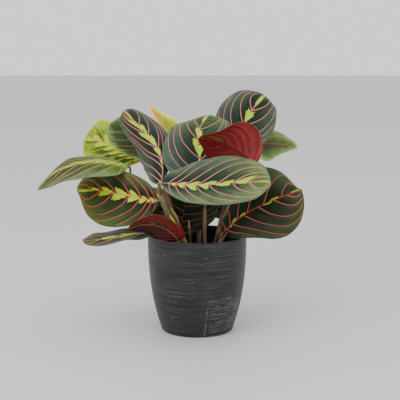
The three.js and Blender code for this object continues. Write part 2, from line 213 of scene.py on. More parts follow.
view = {"lens": 100, "near": 0.05, "position": (0.0034, -1.3234, 0.3775), "downTilt": 9.35}
studio = {
    "lights": [  # name, place, size, power, colour
        ("keyLight", (-0.95, -1.15, 1.25), 1.1, 16, (1, 0.98, 0.95)),
        ("topLight", (0.1, 0.1, 1.7), 1.4, 6, (0.97, 0.98, 1)),
        ("fillLight", (1.3, -0.9, 0.55), 1.2, 4, (1, 1, 1)),
    ],
    "lightTarget": (0, 0, 0.16), "worldColour": (0.98, 0.99, 1.0, 1), "worldStrength": 1.25,
    "floorColour": (0.62, 0.59, 0.58, 1), "floorRoughness": 0.6, "floorReach": 6.0,
}


def setCamera():
    data = bpy.data.cameras.new("viewCamera")
    data.lens, data.clip_start = view["lens"], view["near"]
    camera = newObject("viewCamera", data)
    camera.location = view["position"]
    camera.rotation_euler = (math.radians(90 - view["downTilt"]), 0, 0)
    bpy.context.scene.camera = camera


def setStudio():
    for name, place, size, power, colour in studio["lights"]:
        data = bpy.data.lights.new(name, "AREA")
        data.shape, data.size, data.energy, data.color = "DISK", size, power, colour
        light = newObject(name, data)
        light.location = place
        toward = Vector(studio["lightTarget"]) - Vector(place)
        light.rotation_euler = toward.to_track_quat("-Z", "Y").to_euler()
    world = bpy.data.worlds.new("softWorld")
    world.use_nodes = True
    backdrop = world.node_tree.nodes["Background"]
    backdrop.inputs["Color"].default_value = studio["worldColour"]
    backdrop.inputs["Strength"].default_value = studio["worldStrength"]
    bpy.context.scene.world = world
    paint, tree = newMaterial("paleFloor")
    shader = tree.nodes["Principled BSDF"]
    shader.inputs["Base Color"].default_value = studio["floorColour"]
    shader.inputs["Roughness"].default_value = studio["floorRoughness"]
    mesh = bpy.data.meshes.new("floor")
    far = studio["floorReach"]
    mesh.from_pydata([(-far, -far, 0), (far, -far, 0), (far, far, 0), (-far, far, 0)], [], [(0, 1, 2, 3)])
    floor = newObject("floor", mesh, [paint])


# leaf blades

blade = {
    "thickness": 0.7, "marginThinning": 0.45, "rib": 1.5, "keelWidth": 2.2, "groove": 0.35,
    "grooveWidth": 1.4, "baseWidth": 2.6, "tipWidth": 1.4, "wave": 1.5, "veinSink": 0.3, "veinWidth": 1.1,
    "puff": 0.24, "rows": 104, "columns": 48, "usualVeins": 4.5, "crowding": 0.27,
    "stagger": 0.42,  # between the veins of the two halves
}


def half(widths, fold=8, curl=-10):
    # widths from the midrib to the margin at seven places, then the lean toward the upper face in degrees
    return widths, fold, curl


def ovalHalves(reach):
    return [half([share * reach for share in (0.33, 0.63, 0.88, 1, 0.89, 0.6, 0.15)], 6, -12)] * 2


# rib: four points of the midrib; face: the way the upper side looks, from base to tip
# tint: how much of the look's second colour lies at the tip, at the base, to the left, to the right
# halves, band, sweep and veins have an entry for the left half of the leaf and one for the right
# band: how far the light marks reach from the midrib, from base to tip; veins: where side veins start
# sweep: how these run toward the tip: a straight share, how soon it grows from the base on, a bowed
# share, how soon it grows, and how both fade
leaves = {
    "leaf_01": {
        "rib": [(-40, -62, 190), (1, -70, 189), (40, -75, 192), (84, -72, 192)],
        "face": [(0, -0.77, 0.64), (0.1, -0.77, 0.64)],
        "halves": [half([14, 21, 32, 35, 34, 30, 20], 14, -12), half([10, 19, 26, 30, 28, 24, 11], 16, -12)],
        # the tint to the right is painted sheen on the lower half; the tint at the tip is the leaf's own
        # yellow-green
        "tint": [1, 0, 0.1, 0.55],
        "band": [[0, 1.5, 2.8, 3, 2.8, 2.8, 6.5, 4], [0, 3, 5.5, 8, 7.5, 6.5, 2.5, 1.6]],
        "sweep": [(0.46, 0.13, 0.22, 0.04, 0), (0.21, 0.6, 1.2, 0.43, 0.6)],
        "veins": [[0.054, 0.105, 0.208, 0.341, 0.523, 0.68, 0.803],
                  [0.064, 0.123, 0.203, 0.318, 0.451, 0.668, 0.818]]},
    "leaf_02": {
        "rib": [(-46, -42, 166), (-76, -34, 169), (-111, -18, 173), (-145, 0, 172)],
        "face": [(-0.3, -0.93, 0.2), (-0.5, -0.82, 0.2)],
        "halves": [half([12, 25, 34, 40, 39, 29, 8], 10, -10), half([8, 18, 25, 28, 26, 20, 10], 4, -10)],
        "look": "olive", "tint": [0.7],
        "band": [[2, 3.5, 4, 5, 7, 9.5, 8, 5], [2, 3, 3.5, 6, 7.5, 6.5, 3.5, 2.5]],
        "sweep": [(0.34, 0.6, 0.61, 0.18, 0), (0.45, 0.42, 0.28, 0.03, 0.4)],
        "veins": [[0.025, 0.089, 0.146, 0.246, 0.372, 0.561, 0.71],
                  [0.037, 0.118, 0.226, 0.347, 0.525, 0.682, 0.82]]},
    "leaf_03": {
        "rib": [(-83, -12, 202), (-118, -26, 210), (-155, -38, 204), (-186, -44, 179)],
        "face": [(0, -0.4, 0.92), (-0.45, -0.3, 0.84)],
        "halves": [half([10, 21, 30, 28, 26, 21, 8], -9, -4), half([6, 10, 20, 25, 14, 8, 3], -2, -4)],
        "look": "pale", "tint": [0.2, 0.5], "band": [[4, 5, 6, 6, 5, 3, 2, 1]] * 2,
        "sweep": [(0.85, 0.25, 0.3, 0.1, 0.6)] * 2},
    "leaf_04": {
        "rib": [(-69, 32, 204), (-95, 52, 213), (-117, 69, 221), (-143, 89, 226)],
        "face": [(-0.3, -0.8, 0.5), (-0.3, -0.75, 0.6)],
        "halves": [half([7, 18, 29, 35, 35, 28, 14], 6, -10), half([6, 14, 22, 28, 32, 31, 28], 6, -10)],
        "look": "fresh", "tint": [0.6], "band": [[4, 6, 9, 11, 10, 8, 6, 4], [4, 6, 8, 10, 11, 10, 8, 5]],
        "sweep": [(0.5, 0.2, 0.3, 0.1, 0.3), (0.5, 0.2, 0.4, 0.1, 0.3)]},
    "leaf_05": {
        "rib": [(-68, 18, 205), (-77, 30, 222), (-86, 36, 239), (-94, 44, 257)],
        "face": [(-0.3, -0.9, 0.2), (-0.3, -0.85, 0.3)],
        "halves": [half([3, 8, 16, 23, 27, 24, 16]), half([6, 14, 21, 24, 21, 13, 2])],
        "look": "sage", "tint": [0.2], "sweep": [(0.2, 0.05, 0.05, 0.05, 0)] * 2},
    "leaf_06": {
        "rib": [(-42, -50, 186), (-42, -25, 214), (-57, -5, 237), (-88, 5, 267)],
        "face": [(0.1, -0.95, 0.2), (-0.2, -0.8, 0.5)],
        "halves": [half([13, 20, 27, 29, 25, 22, 15], -14, -20), half([3, 8, 15, 25, 33, 29, 18], -32, -16)],
        "tint": [0.15],
        "band": [[0, 0, 0, 2, 5, 6.5, 6.5, 4.5], [0, 0, 0, 2, 4, 4.5, 4, 2]],
        "sweep": [(0.52, 0.09, 0.37, 0.03, 0.18), (0.86, 0.03, 0, 0.03, 1)],
        "veins": [[0.023, 0.06, 0.18, 0.298, 0.503, 0.719, 0.889], [0.06, 0.158, 0.3, 0.463, 0.688, 0.827]]},
    "leaf_07": {
        "rib": [(7, -31, 180), (3, -15, 210), (1, 7, 236), (14, 36, 259)],
        "face": [(0.36, -0.75, 0.6), (0.28, -0.75, 0.6), (-0.48, -0.44, 0.91)],
        "halves": [half([22, 38, 45, 42, 35, 32, 16], 12, -14), half([9, 22, 35, 42, 41, 38, 30], 6, -18)],
        "tint": [0.55], "band": [[0, 0, 0, 0, 6.5, 6, 2.5, 2], [0, 0, 0, 6, 4.5, 3, 2, 2]],
        "sweep": [(0.79, 0.45, 0.85, 0.03, 0.84)] * 2,
        "veins": [[0.015, 0.042, 0.158, 0.36, 0.628, 0.802], [0.04, 0.15, 0.335, 0.55, 0.77]]},
    "leaf_08": {
        "rib": [(39, 44, 213), (52, 52, 235), (66, 64, 259), (85, 82, 280)],
        "face": [(0.1, -0.85, 0.5)] * 2,
        "halves": [half([14, 25, 33, 37, 35, 28, 12]), half([7, 20, 31, 36, 35, 29, 21])],
        "tint": [0.15],
        "band": [[0, 0, 0, 0, 7, 2.2, 1.8, 1.8], [0, 0, 0, 0, 7, 2, 1.5, 1.5]],
        "sweep": [(0.85, 0.35, 0.7, 0.03, 0.72), (0.51, 0.6, 0.78, 0.03, 0)],
        "veins": [[0.037, 0.101, 0.251, 0.472, 0.711], [0.03, 0.068, 0.238, 0.482, 0.699]]},
    "leaf_09": {
        "rib": [(67, -40, 206), (47, -29, 224), (23, -28, 234), (1, -38, 238)],
        "face": [(0, 0.9, 0.43)] * 2,
        "halves": [half([15, 33, 39, 32, 15, 7, 4]), half([11, 21, 30, 32, 26, 12, 4])],
        # the tint at the base is painted sheen, a pinkish shine on the right end of the underside
        "tint": [0, 1.1], "band": [[2, 3, 4, 4, 3, 2, 1, 1]] * 2},
    "leaf_10": {
        "rib": [(63, 58, 222), (84, 70, 220), (106, 82, 218), (128, 94, 213)],
        "face": [(0.1, -0.7, 0.7)] * 2,
        "halves": [half([8, 15, 23, 28, 21, 14, 9]), half([16, 25, 26, 20, 13, 7, 4])],
        "look": "sage", "tint": [0.5, 0, 0.6, 0.6], "sweep": [(0.95, 0.12, 0.2, 0.08, 0.6)] * 2},
    "leaf_11": {
        "rib": [(30, -26, 123), (57, -32, 148), (88, -38, 165), (122, -42, 179)],
        "face": [(0, -0.857, 0.515), (0.1, -0.857, 0.515)],
        "halves": [half([8, 21, 36, 44, 45, 31, 5], 4, -10), half([13, 22, 32, 42, 44, 37, 20], 6, -22)],
        "look": "dark", "tint": [0.35],
        "band": [[0, 0, 3, 3, 0, 2.8, 2.4, 2], [0, 2.8, 0, 0, 2.8, 0, 2.4, 2.4]],
        "sweep": [(0.8, 0.36, 0, 0.36, 0.8), (0.53, 0.6, 0.62, 0.1, 0)],
        "veins": [[0.05, 0.12, 0.22, 0.356, 0.56, 0.768], [0.068, 0.159, 0.31, 0.497, 0.687, 0.83]]},
    "leaf_12": {
        "rib": [(-20, 12, 114), (-17, 19, 139), (-13, 26, 160), (-10, 34, 182)],
        "face": [(0, -0.95, 0.3)] * 2,
        "halves": [half([10, 18, 24, 26, 22, 14, 2]), half([15, 28, 38, 41, 35, 22, 3])],
        "look": "shade", "tint": [0.1], "sweep": [(0.1, 0.15, 0.3, 0.08, 0.3)] * 2},
    "leaf_13": {
        "rib": [(10, 40, 140), (27, 44, 148), (43, 46, 152), (58, 47, 151)],
        "face": [(0, -0.9, 0.4)] * 2,
        "halves": [half([9, 17, 23, 25, 21, 13, 2])] * 2,
        "look": "shade", "tint": [0.1]},
    "leaf_14": {
        "rib": [(-22, -47, 119), (-35, -55, 134), (-56, -60, 141), (-81, -64, 135)],
        "face": [(0, 0.8, 0.6)] * 2,
        "halves": [half([9, 13, 16, 18, 14, 10, 3]), half([10, 14, 19, 20, 14, 10, 4])],
        # the tint to the left paints light on the upper half of the underside, over the painted shade of wine
        "look": "dark", "under": "wine", "tint": [0, 0.3, 1], "band": [[2, 3, 3, 3, 2, 2, 1, 1]] * 2},
    "leaf_15": {
        "rib": [(-50, -12, 121), (-79, -24, 122), (-107, -38, 120), (-134, -50, 120)],
        "face": [(0, -0.18, 0.98)] * 2,
        "halves": [half([4, 8, 11, 11, 10, 12, 9], -8, -10), half([6, 15, 23, 28, 24, 16, 7], -4, 0)],
        "tint": [0.5, 0, 0.15, 0.1],
        "band": [[0, 5, 3, 0, 0, 0, 0, 0], [0, 8, 5, 0, 0, 0, 0, 0]],
        "sweep": [(0.6, 0.15, 0.3, 0.1, 0.6)] * 2, "veins": [[0.15, 0.45, 0.75]] * 2},
    "leaf_16": {
        "rib": [(-9, 34, 214), (-31, 42, 233), (-45, 48, 251), (-60, 54, 268)],
        "face": [(0, -0.9, 0.4)] * 2,
        "halves": [half([3, 4, 4, 5, 6, 5, 2], 20, 0), half([6, 10, 13, 16, 10, 6, 2])],
        "look": "new", "tint": [1.2, -0.3, 1.2, -0.4], "band": [[2, 3, 4, 4, 3, 2, 1, 1]] * 2},
    "leaf_17": {
        "rib": [(40, 40, 121), (64, 58, 134), (88, 74, 136), (112, 86, 126)],
        "face": [(-0.3, -0.2, 0.9), (0.3, 0.3, 0.9)], "halves": ovalHalves(34),
        "look": "olive", "tint": [0.4], "band": [[2, 4, 5, 5, 5, 4, 3, 1]] * 2},
    "leaf_18": {
        "rib": [(-34, 38, 126), (-56, 52, 143), (-80, 62, 148), (-104, 68, 142)],
        "face": [(0.3, -0.2, 0.9), (-0.3, 0.3, 0.9)], "halves": ovalHalves(34),
        "look": "dark", "tint": [0.3], "band": [[1, 2, 3, 3, 3, 3, 2, 1]] * 2},
    "leaf_19": {
        "rib": [(-8, 54, 150), (-4, 76, 167), (0, 100, 165), (4, 124, 150)],
        "face": [(0, -0.5, 0.86), (0, 0.6, 0.8)], "halves": ovalHalves(36),
        "tint": [0.4], "band": [[2, 3, 4, 5, 5, 4, 3, 1], [2, 3, 5, 5, 4, 4, 3, 1]]},
    "leaf_20": {
        "rib": [(-37, 45, 148), (-59, 62, 160), (-79, 81, 162), (-97, 97, 152)],
        "face": [(0.3, -0.4, 0.86), (-0.3, 0.5, 0.8)], "halves": ovalHalves(35),
        "look": "olive", "tint": [0.5], "band": [[3, 5, 6, 6, 6, 5, 4, 2]] * 2},
    "leaf_21": {
        "rib": [(44, 62, 162), (62, 78, 178), (80, 92, 180), (98, 106, 172)],
        "face": [(-0.3, -0.4, 0.86), (0.3, 0.5, 0.8)], "halves": ovalHalves(35),
        "tint": [0.3], "band": [[1, 3, 4, 4, 2, 3, 2, 1], [1, 3, 4, 2, 4, 3, 2, 1]]},
    "leaf_22": {
        "rib": [(6, 44, 200), (8, 64, 224), (6, 86, 234), (2, 110, 232)],
        "face": [(0, -0.7, 0.7), (0, 0.3, 0.9)], "halves": ovalHalves(36),
        "tint": [0.3], "band": [[2, 4, 5, 5, 5, 4, 2, 1], [2, 4, 5, 5, 4, 4, 2, 1]]},
    "leaf_23": {
        "rib": [(-10, 48, 122), (-16, 72, 132), (-24, 96, 129), (-34, 118, 116)],
        "face": [(0, -0.4, 0.9), (-0.2, 0.6, 0.8)], "halves": ovalHalves(30),
        "look": "fresh", "tint": [0.4], "band": [[3, 5, 7, 7, 6, 5, 4, 2]] * 2},
}
usualLeaf = {
    "look": "matt", "band": [[0] * 8] * 2, "sweep": [(0.34, 0.15, 0.5, 0.08, 0.3)] * 2, "veins": [[], []]}


def ribPoint(points, s):
    # the cubic through four points, and its direction
    a, b, c, d = [np.array(p, float) for p in points]
    near = (-5 * a + 18 * b - 9 * c + 2 * d) / 6
    far = (2 * a - 9 * b + 18 * c - 5 * d) / 6
    s = np.atleast_1d(s)[:, None]
    q = 1 - s
    place = q ** 3 * a + 3 * q * q * s * near + 3 * q * s * s * far + s ** 3 * d
    return place, unit(3 * q * q * (near - a) + 6 * q * s * (far - near) + 3 * s * s * (d - far))


def widthAt(s, widths):
    # smooth line through the widths and the two ends
    ends = np.array([blade["baseWidth"] / 2, *widths, blade["tipWidth"] / 2])
    last = len(ends) - 1
    place = np.arccos(1 - 2 * np.clip(s, 0, 1)) / np.pi * last
    i = np.minimum(place.astype(int), last - 1)
    t = place - i
    a, b = ends[i], ends[i + 1]
    startSlope = (b - ends[np.maximum(i - 1, 0)]) / 2
    endSlope = (ends[np.minimum(i + 2, last)] - a) / 2
    cubic = 2 * a - 2 * b + startSlope + endSlope
    square = -3 * a + 3 * b - 2 * startSlope - endSlope
    return np.maximum(a + t * (startSlope + t * (square + t * cubic)), blade["tipWidth"] / 2)


def bladeSurface(leaf, s, r, phase):
    # grid of points: s from base to tip, r from 1 at the left margin to -1
    centre, tangent = ribPoint(leaf["rib"], s)
    across = unit(np.cross(throughPoints(leaf["face"], s), tangent))
    normal = np.cross(tangent, across)
    grid = np.zeros((len(s), len(r), 3))
    for j, value in enumerate(r):
        widths, fold, curl = leaf["halves"][int(value < 0)]
        out = abs(value)
        width = out * widthAt(s, widths)
        lean = math.radians(fold + curl * out)
        turns = 2 * s + phase + (0 if value > 0 else 0.37)
        wave = blade["wave"] * out * out * np.sin(2 * np.pi * turns) * np.minimum(1, 6 * s * (1 - s))
        sideways = np.sign(value) * width * math.cos(lean)
        grid[:, j] = centre + across * sideways[:, None] + normal * (width * math.sin(lean) + wave)[:, None]
    return grid


def veinCount(s, out, starts, course, shift):
    # whole numbers lie on the side veins, which leave the midrib and sweep toward the tip
    lean, leanLag, bow, bowLag, taper = course
    start = np.linspace(0, 1, 500)
    if starts:
        count = np.interp(start, [0, *starts, 1.2], range(len(starts) + 2))
    else:
        count = blade["usualVeins"] * np.log1p(start / blade["crowding"]) + shift
    straight, bent = [reach * (1 - np.exp(-(start / lag) ** 1.4)) * (1 - start) ** taper
                      for reach, lag in ((lean, leanLag), (bow, bowLag))]
    return np.stack([np.interp(s, start + straight * value + bent * value ** 3, count)
                     for value in out], axis=1)


def spacing(count, grid, s, out):
    # millimetres between neighbouring veins
    alongStep, countS = np.gradient(grid, s, axis=0), np.gradient(count, s, axis=0)
    acrossStep, countR = np.gradient(grid, out, axis=1), np.gradient(count, out, axis=1)
    e = np.sum(alongStep ** 2, axis=2)
    f = np.sum(alongStep * acrossStep, axis=2)
    g = np.sum(acrossStep ** 2, axis=2)
    square = g * countS ** 2 - 2 * f * countS * countR + e * countR ** 2
    slope = np.sqrt(np.maximum(square, 0) / np.maximum(e * g - f * f, 1e-6))
    return 1 / np.clip(slope, 1 / 40, 4)


def hump(distance, width):
    return np.exp(-(distance / width) ** 2)


def bladeMesh(name, leaf, index):
    rows, columns = blade["rows"], blade["columns"]
    middle = columns // 2
    t = np.linspace(0, 1, rows + 1)
    s = 0.35 * t + 0.65 * (0.5 - 0.5 * np.cos(np.pi * t))  # closer rows at both ends
    r = np.linspace(1, -1, columns + 1)
    up, out = s[:, None], np.abs(r)
    grid = bladeSurface(leaf, s, r, 0.31 * index)
    # each half has its own veins, so the midrib column is kept twice: in the left and in the right
    sides = [slice(0, middle + 1), slice(middle, columns + 1)]
    shifts = [0, blade["stagger"]] if index % 2 else [blade["stagger"], 0]
    counts = np.array([veinCount(s, out[side], *course)
                       for side, *course in zip(sides, leaf["veins"], leaf["sweep"], shifts)])
    gaps = np.array([spacing(count, grid[:, side], s, r[side]) for side, count in zip(sides, counts)])
    bands = np.array([np.interp(count, np.arange(8) + 0.5, reach)
                      for count, reach in zip(counts, leaf["band"])])
    normal = unit(np.cross(np.gradient(grid, s, axis=0), np.gradient(grid, r, axis=1)))
    walked = np.cumsum(np.linalg.norm(np.diff(grid, axis=1, prepend=grid[:, :1]), axis=2), axis=1)
    ribDistance = np.abs(walked - walked[:, [middle]])
    width = np.where(r >= 0, ribDistance[:, :1], ribDistance[:, -1:])
    length = np.linalg.norm(np.diff(ribPoint(leaf["rib"], np.linspace(0, 1, 60))[0], axis=0), axis=1).sum()
    edge = np.minimum(width - ribDistance, (1 - up) * length)
    # veins lie in shallow furrows and the blade swells a little between them
    count, gap = [np.concatenate([left, right[:, 1:]], axis=1) for left, right in (counts, gaps)]
    offset = np.abs(count - np.round(count)) * gap
    relief = blade["puff"] * np.clip(offset / 4, 0, 1) - blade["veinSink"] * hump(offset, blade["veinWidth"])
    relief *= np.clip(edge / 5, 0, 1) * np.clip(ribDistance / 3, 0, 1) * np.clip(gap / 5 - 0.4, 0, 1)
    groove = blade["groove"] * hump(ribDistance, blade["grooveWidth"])
    keel = (blade["rib"] - blade["thickness"]) * hump(ribDistance, blade["keelWidth"]) * (1 - 0.6 * up)
    skin = blade["thickness"] / 2 * (1 - blade["marginThinning"] * out ** 4)
    top = grid + normal * (skin + relief - groove)[..., None]
    under = grid + normal * (relief - skin - keel)[..., None]
    wide = columns + 1
    size = (rows + 1) * wide
    places = np.concatenate([top.reshape(-1, 3), under.reshape(-1, 3)]) * mm
    i, j = np.indices((rows, columns)).reshape(2, -1)
    a = i * wide + j
    upper = np.stack([a, a + 1, a + 1 + wide, a + wide], axis=1)
    lower = size + upper[:, ::-1]
    ring = np.concatenate([np.arange(columns), np.arange(rows) * wide + columns,
                           rows * wide + np.arange(columns, 0, -1), np.arange(rows, 0, -1) * wide])
    after = np.roll(ring, -1)
    rim = np.stack([ring, size + ring, size + after, after], axis=1)
    faces = np.concatenate([upper, lower, rim])
    mesh = bpy.data.meshes.new(name)
    mesh.from_pydata(places.tolist(), [], faces.tolist())
    parts = [len(upper), len(lower), len(rim)]
    mesh.polygons.foreach_set("material_index", np.repeat([0, 1, 0], parts))
    mesh.polygons.foreach_set("use_smooth", np.repeat([True, True, False], parts))

    def write(label, values, domain="POINT"):
        mesh.attributes.new(label, "FLOAT", domain).data.foreach_set("value", values.ravel())

    # a corner takes the values of the half that its face lies in
    onRight = np.concatenate([np.tile(j >= middle, 2), r[ring % wide] < 0]).astype(int)[:, None]
    row, column = np.divmod(faces % size, wide)
    column = np.clip(column - onRight * middle, 0, middle)
    for label, values in (("veinCount", counts), ("veinGap", gaps), ("bandReach", bands)):
        write(label, values[onRight, row, column], "CORNER")
    atTip, atBase, toLeft, toRight = [*leaf["tint"], 0, 0, 0][:4]
    tint = (atBase * (1 - up) ** 2.5 + atTip * up ** 5
            + toLeft * np.clip(r, 0, 1) ** 0.7 + toRight * np.clip(-r, 0, 1) ** 2)
    for label, values in (("ribDistance", ribDistance), ("edgeDistance", edge), ("acrossLeaf", out),
                          ("tint", np.clip(tint, 0, 1)), ("leafNumber", float(index))):
        write(label, np.tile(np.broadcast_to(values, grid.shape[:2]), (2, 1)))
    return mesh


def makePatternGroup():
    # side veins, the light toothed band along the midrib, and the finer marks between them
    tree, given = startGroup("leafPattern", "ShaderNodeTree", {
        "Vein Width": ("Float", 1.0), "Blotch Near": ("Float", 4.0), "Blotch Spread": ("Float", 10.0)})
    count, gap, rib, edge, across, number, bandReach = readAttributes(
        tree, "veinCount", "veinGap", "ribDistance", "edgeDistance", "acrossLeaf", "leafNumber", "bandReach")
    place = objectPlace(tree)

    def drawnOut(along, alongScale, outScale, *settings):
        # noise drawn out from the midrib, different on each leaf
        spot = combine(product(along, alongScale), product(rib, outScale), number)
        return noise(spot, *settings)

    bent = calc("MULTIPLY_ADD", noise(place, 55, 1), 0.14, calc("ADD", count, 19.93))
    cell = calc("FRACT", bent)  # 0 to 1 from one side vein to the next
    nearVein = calc("PINGPONG", bent, 0.5)
    width = product(given["Vein Width"], ramp(across, 0, 1, 1, 0.55))
    vein = ramp(product(nearVein, gap), product(width, 0.62), product(width, 0.34))
    # no vein where they would crowd, at the very base, or at the margin
    vein = product(vein, ramp(gap, 2, 3.6), ramp(count, 0.3, 0.7), ramp(edge, 1.2, 4.5))
    # a light tooth widens from one vein to just before the next, each by its own chance
    chance = addNode(tree, "ShaderNodeTexWhiteNoise",
                     {"Vector": combine(calc("FLOOR", bent), number, 3)}).outputs["Value"]
    tooth = product(ramp(cell, 0, 0.55, 0.12, 1), ramp(cell, 0.97, 0.76), ramp(chance, 0, 1, 0.75, 1.12))
    jag = calc("MULTIPLY_ADD", drawnOut(bent, 6, 0.3, 1.3, 2), 0.8, -0.4)
    reach = product(calc("ADD", tooth, jag), bandReach)
    band = product(ramp(calc("SUBTRACT", rib, reach), 0.3, -0.3),
                   ramp(reach, 1, 1.5), ramp(edge, 1, 6, 0.35, 1))
    # darker blotches on the midrib side of each cell
    inward = calc("MULTIPLY_ADD", drawnOut(count, 2, 0.05, 1, 2),
                  given["Blotch Spread"], given["Blotch Near"])
    blotch = product(ramp(calc("SUBTRACT", rib, inward), 5, -4), ramp(nearVein, 0.02, 0.2))
    return endGroup(tree, "Float", {
        "Vein": vein, "Band": band, "Rib": ramp(rib, 0.85, 0.35), "Cell": cell, "Blotch": blotch,
        "Streak": drawnOut(count, 11, 0.05, 1, 4, 0.72), "Mottle": noise(place, 90, 3, 0.6)})


# rim, the lighter grey-green toward the margin, is partly the leaf's own colour and partly painted sheen
# deep lies near the midrib and rim toward the margin; blotch lies between the veins, as strong as patch says
# and from the midrib as far as blotches says (near, then the most beyond it); tint is the second colour
# vein and rib colour the veins and the midrib, ribShare is how plain the midrib is, light is the band
usualLook = {"patch": 0.6, "blotches": (4, 10), "veinWidth": 0.95, "ribShare": 0.8}
leafLooks = {
    "matt": {"deep": (0.012, 0.027, 0.016), "rim": (0.052, 0.082, 0.054), "blotch": (0.007, 0.015, 0.011),
        "tint": (0.15, 0.24, 0.066), "vein": (0.66, 0.15, 0.2), "light": (0.46, 0.68, 0.02),
        "rib": (0.62, 0.26, 0.17), "patch": 0.85, "veinWidth": 1.1, "ribShare": 0.7},
    "olive": {"deep": (0.015, 0.029, 0.008), "rim": (0.05, 0.082, 0.024), "blotch": (0.008, 0.012, 0.004),
        "tint": (0.15, 0.25, 0.016), "vein": (0.62, 0.04, 0.085), "light": (0.46, 0.66, 0.012),
        "rib": (0.55, 0.14, 0.07), "patch": 0.75, "veinWidth": 1.15, "ribShare": 0.7},
    "dark": {"deep": (0.013, 0.022, 0.01), "rim": (0.037, 0.055, 0.023), "blotch": (0.005, 0.008, 0.004),
        "tint": (0.085, 0.13, 0.04), "vein": (0.55, 0.07, 0.1), "light": (0.3, 0.42, 0.03),
        "rib": (0.3, 0.045, 0.035), "veinWidth": 1.05, "ribShare": 1.0},
    # shade is painted shade: the dark look darker still, with dim veins, for leaves lying in the shadow of
    # others
    "shade": {"deep": (0.01, 0.02, 0.01), "rim": (0.02, 0.038, 0.018), "blotch": (0.005, 0.008, 0.004),
        "tint": (0.07, 0.018, 0.01), "vein": (0.44, 0.045, 0.075), "light": (0.2, 0.3, 0.03),
        "rib": (0.1, 0.035, 0.016), "veinWidth": 0.75},
    "pale": {"deep": (0.055, 0.098, 0.02), "rim": (0.085, 0.13, 0.06), "blotch": (0.016, 0.034, 0.014),
        "tint": (0.24, 0.4, 0.02), "vein": (0.48, 0.13, 0.1), "light": (0.34, 0.56, 0.02),
        "rib": (0.46, 0.2, 0.09), "patch": 0.9, "blotches": (-6, 46)},
    "sage": {"deep": (0.062, 0.108, 0.028), "rim": (0.135, 0.205, 0.07), "blotch": (0.014, 0.028, 0.008),
        "tint": (0.25, 0.36, 0.08), "vein": (0.17, 0.045, 0.034), "light": (0.3, 0.42, 0.04),
        "rib": (0.3, 0.14, 0.06), "patch": 0.8, "blotches": (-14, 66)},
    "fresh": {"deep": (0.13, 0.24, 0.005), "rim": (0.27, 0.4, 0.01), "blotch": (0.018, 0.046, 0.005),
        "tint": (0.34, 0.46, 0.03), "vein": (0.46, 0.09, 0.06), "light": (0.44, 0.64, 0.012),
        "rib": (0.5, 0.2, 0.09), "patch": 0.95, "blotches": (-16, 60)},
    "new": {"deep": (0.44, 0.56, 0.015), "rim": (0.54, 0.66, 0.03), "blotch": (0.16, 0.26, 0.01),
        "tint": (0.6, 0.19, 0.14), "vein": (0.46, 0.14, 0.03), "light": (0.44, 0.58, 0.01),
        "rib": (0.62, 0.26, 0.14), "patch": 0.5, "blotches": (-10, 40), "veinWidth": 1.2},
}


def makeTopMaterial(name, look, pattern):
    material, tree = newMaterial(name)
    across, edge, tint = readAttributes(tree, "acrossLeaf", "edgeDistance", "tint")
    near, spread = look["blotches"]
    out = addNode(tree, "ShaderNodeGroup", {"Vein Width": look["veinWidth"], "Blotch Near": near,
                                            "Blotch Spread": spread}, node_tree=pattern).outputs
    streak, mottle = out["Streak"], out["Mottle"]
    colour = coats(look["deep"],
                   (ramp(across, 0.25, 1), look["rim"]),
                   (product(out["Blotch"], look["patch"]), look["blotch"]),
                   (product(tint, ramp(mottle, 0.2, 0.8, 0.6, 1)), look["tint"]))
    # streak and mottle are the leaf's own marks; the cell factor is painted shading that gives each quilted
    # field between two veins a dark and a light side
    colour = shaded(colour, ramp(streak, 0.3, 0.7, 0.6, 1.45),
                    ramp(mottle, 0.3, 0.7, 0.9, 1.1), ramp(out["Cell"], 0, 0.9, 0.86, 1.12))
    # painted sheen: a paler grey-green band along the margin, in place of the gloss that light gives there
    paintedSheenMargin = product(ramp(edge, 6, 0), ramp(mottle, 0.3, 0.7, 0.2, 0.5))
    lightBand = coats(look["light"], (streak, scaled(look["light"], 0.72)))
    colour = coats(colour,
                   (paintedSheenMargin, scaled(look["rim"], 1.9)),
                   (out["Band"], lightBand),
                   (product(ramp(edge, 1.1, 0.2), 0.6), scaled(look["rim"], 1.8)),
                   (product(out["Vein"], 0.95), look["vein"]),
                   (product(out["Rib"], look["ribShare"]), look["rib"]))
    height = calc("MULTIPLY_ADD", streak, 0.55, product(mottle, 0.45))
    height = calc("MULTIPLY_ADD", out["Vein"], -0.45, height)
    finishShader(tree, colour, ramp(mottle, 0, 1, 0.42, 0.6), height, 0.45, 0.0005, 0.1)
    return material


underLooks = {
    "burgundy": {"deep": (0.092, 0.0036, 0.002), "rim": (0.13, 0.007, 0.004), "tint": (0.25, 0.036, 0.04),
        "stain": (0.085, 0.042, 0.01), "vein": (0.27, 0.016, 0.02), "rib": (0.08, 0.014, 0.007)},
    # wine is painted shade: burgundy darkened for an underside that hangs in shadow
    "wine": {"deep": (0.013, 0.004, 0.002), "rim": (0.019, 0.005, 0.002), "tint": (0.12, 0.007, 0.005),
        "stain": (0.06, 0.034, 0.01), "vein": (0.16, 0.02, 0.018), "rib": (0.12, 0.075, 0.02)},
    "rose": {"deep": (0.36, 0.16, 0.07), "rim": (0.5, 0.24, 0.12), "tint": (0.6, 0.28, 0.18),
        "stain": (0.34, 0.3, 0.06), "vein": (0.52, 0.13, 0.09), "rib": (0.4, 0.28, 0.08)},
}


